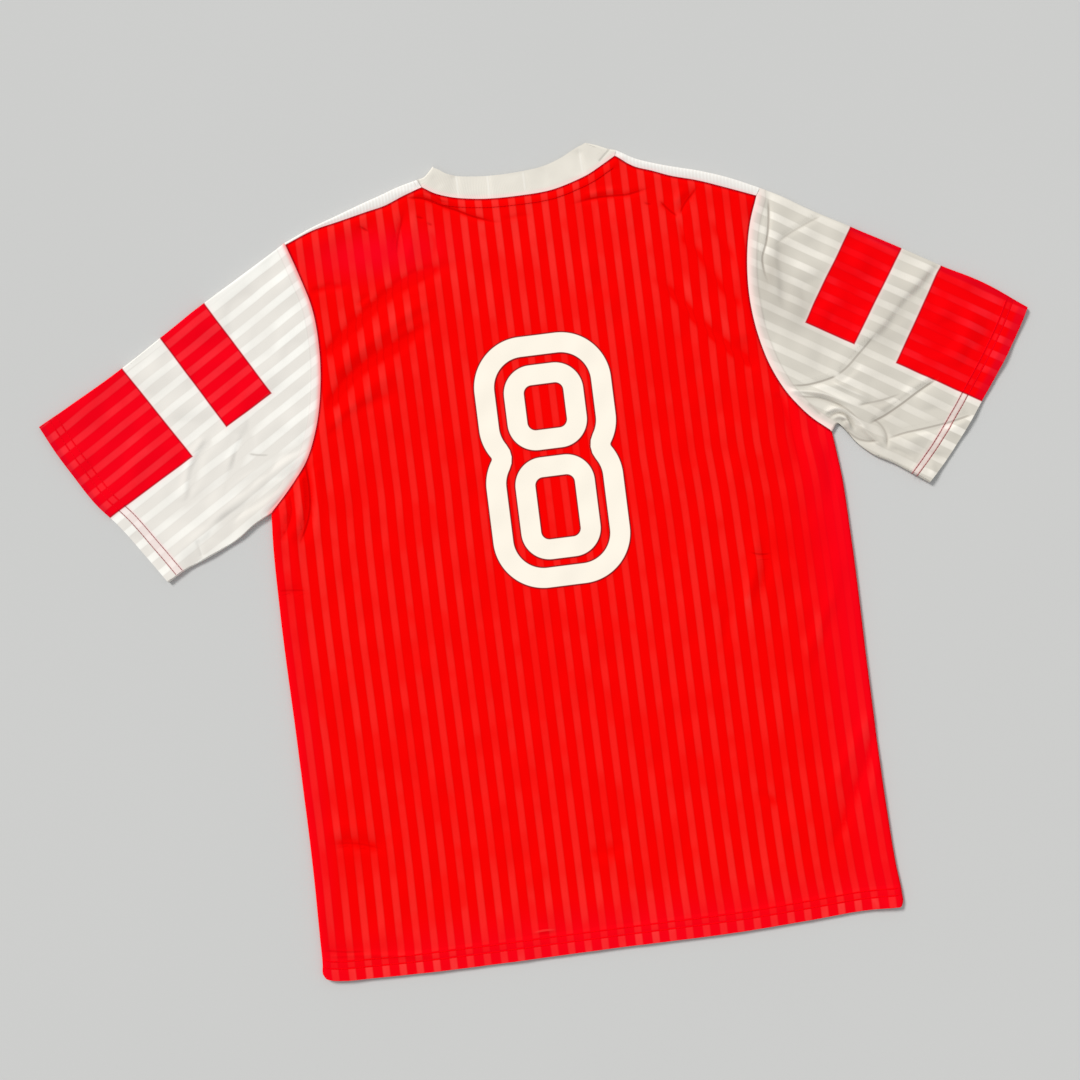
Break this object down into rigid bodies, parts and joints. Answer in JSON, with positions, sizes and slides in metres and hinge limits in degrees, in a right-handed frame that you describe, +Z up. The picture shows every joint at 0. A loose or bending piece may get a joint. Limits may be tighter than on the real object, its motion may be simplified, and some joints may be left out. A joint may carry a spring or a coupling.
{
  "type": "football jersey",
  "caption": "Short-sleeved football shirt laid flat on its front with its back up: rib neckband, folded shoulder pieces, flattened sleeves and a back that rolls down round the side seams.",
  "frame": {"origin": "middle of the laid garment's bounding box, on the surface that it lies on", "axes": "+X across the garment towards the wearer's right sleeve, +Y from the hem to the neck, +Z up, out of the back panel"},
  "size_m": [0.984, 0.7944, 0.0096],
  "materials": {
    "jersey_red": "matt polyester knit, bright red, with tonal shadow stripes",
    "sleeve_white": "matt polyester knit, white with pale grey shadow stripes and printed red blocks",
    "rib_white": "rib knit, warm white",
    "number_white": "matt flocked transfer, off-white",
    "thread_red": "red sewing thread"
  },
  "bodies": {
    "root": {"front": "jersey_red", "back": "jersey_red", "shoulder_left": "sleeve_white", "shoulder_right": "sleeve_white", "sleeve_left": "sleeve_white", "sleeve_right": "sleeve_white", "neckband": "rib_white"}
  },
  "joints": []
}
